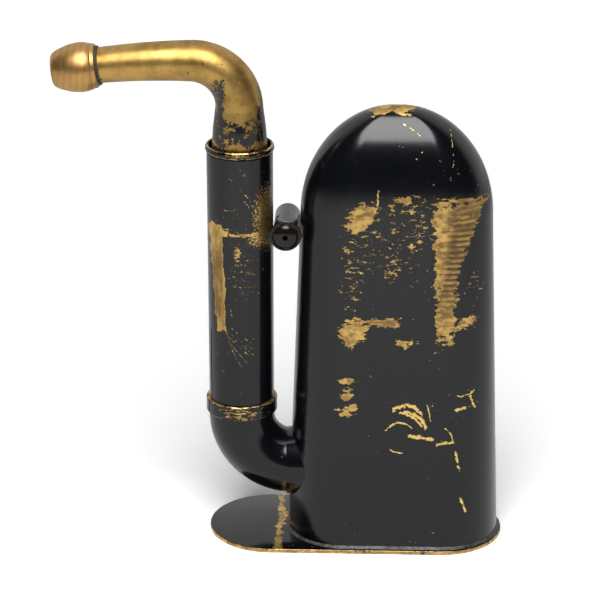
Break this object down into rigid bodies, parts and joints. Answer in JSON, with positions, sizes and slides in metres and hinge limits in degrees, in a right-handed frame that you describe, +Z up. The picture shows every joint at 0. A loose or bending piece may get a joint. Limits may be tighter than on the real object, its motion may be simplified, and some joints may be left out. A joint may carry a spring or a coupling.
{
  "type": "ear trumpet",
  "caption": "Black japanned brass ear trumpet: flat domed resonator on a foot plate, side pipe with sliding split sleeve, swivelling bent ear tube, bulb ear tip and small vent cock.",
  "frame": {"origin": "middle of the flat underside of the foot plate, on the axis of the domed resonator", "axes": "+Z up along the resonator, +X away from the side pipe, +Y to the back of the flat resonator"},
  "size_m": [0.1749, 0.05, 0.2019],
  "materials": {
    "japanned": "gloss black japanning, worn",
    "brass": "satin, tarnished",
    "solder": "dull grey",
    "horn": "dull dark horn",
    "packing": "dark waxed"
  },
  "bodies": {
    "resonator": {"foot_plate": "japanned", "resonator_wall": "japanned", "dome_cap": "japanned", "dome_lap_strip": "brass", "foot_solder_fillet": "solder", "lower_elbow": "japanned", "elbow_solder_cone": "solder", "collector_pipe": "brass", "collector_bell": "brass", "collector_stay": "brass", "stand_pipe": "brass", "vent_barrel": "japanned", "vent_saddle": "solder"},
    "sleeve": {"sleeve_tube": "japanned", "sleeve_foot_band": "japanned", "sleeve_rim": "japanned"},
    "ear_tube": {"ear_elbow": "brass", "ear_spigot": "brass", "ear_nipple": "brass", "tip_packing": "packing"},
    "ear_tip": {"ear_tip": "brass"},
    "vent_cock": {"vent_plug": "brass", "vent_knob": "horn", "vent_washer": "brass", "vent_screw": "brass"}
  },
  "joints": [
    {"name": "sleeve_lift", "type": "slide", "parent": "resonator", "child": "sleeve", "axis": [0, 0, 1], "range_m": [0, 0.04]},
    {"name": "ear_tube_swivel", "type": "hinge", "parent": "sleeve", "child": "ear_tube", "pos_m": [-0.06024, 0, 0.14], "axis": [0, 0, 1], "continuous": true},
    {"name": "ear_tip_turn", "type": "hinge", "parent": "ear_tube", "child": "ear_tip", "pos_m": [-0.12664, 0, 0.19024], "axis": [-0.9928, 0, -0.1201], "continuous": true},
    {"name": "vent_cock_turn", "type": "hinge", "parent": "resonator", "child": "vent_cock", "pos_m": [-0.04235, 0, 0.1283], "axis": [0, 1, 0], "range_deg": [0, 90]}
  ]
}
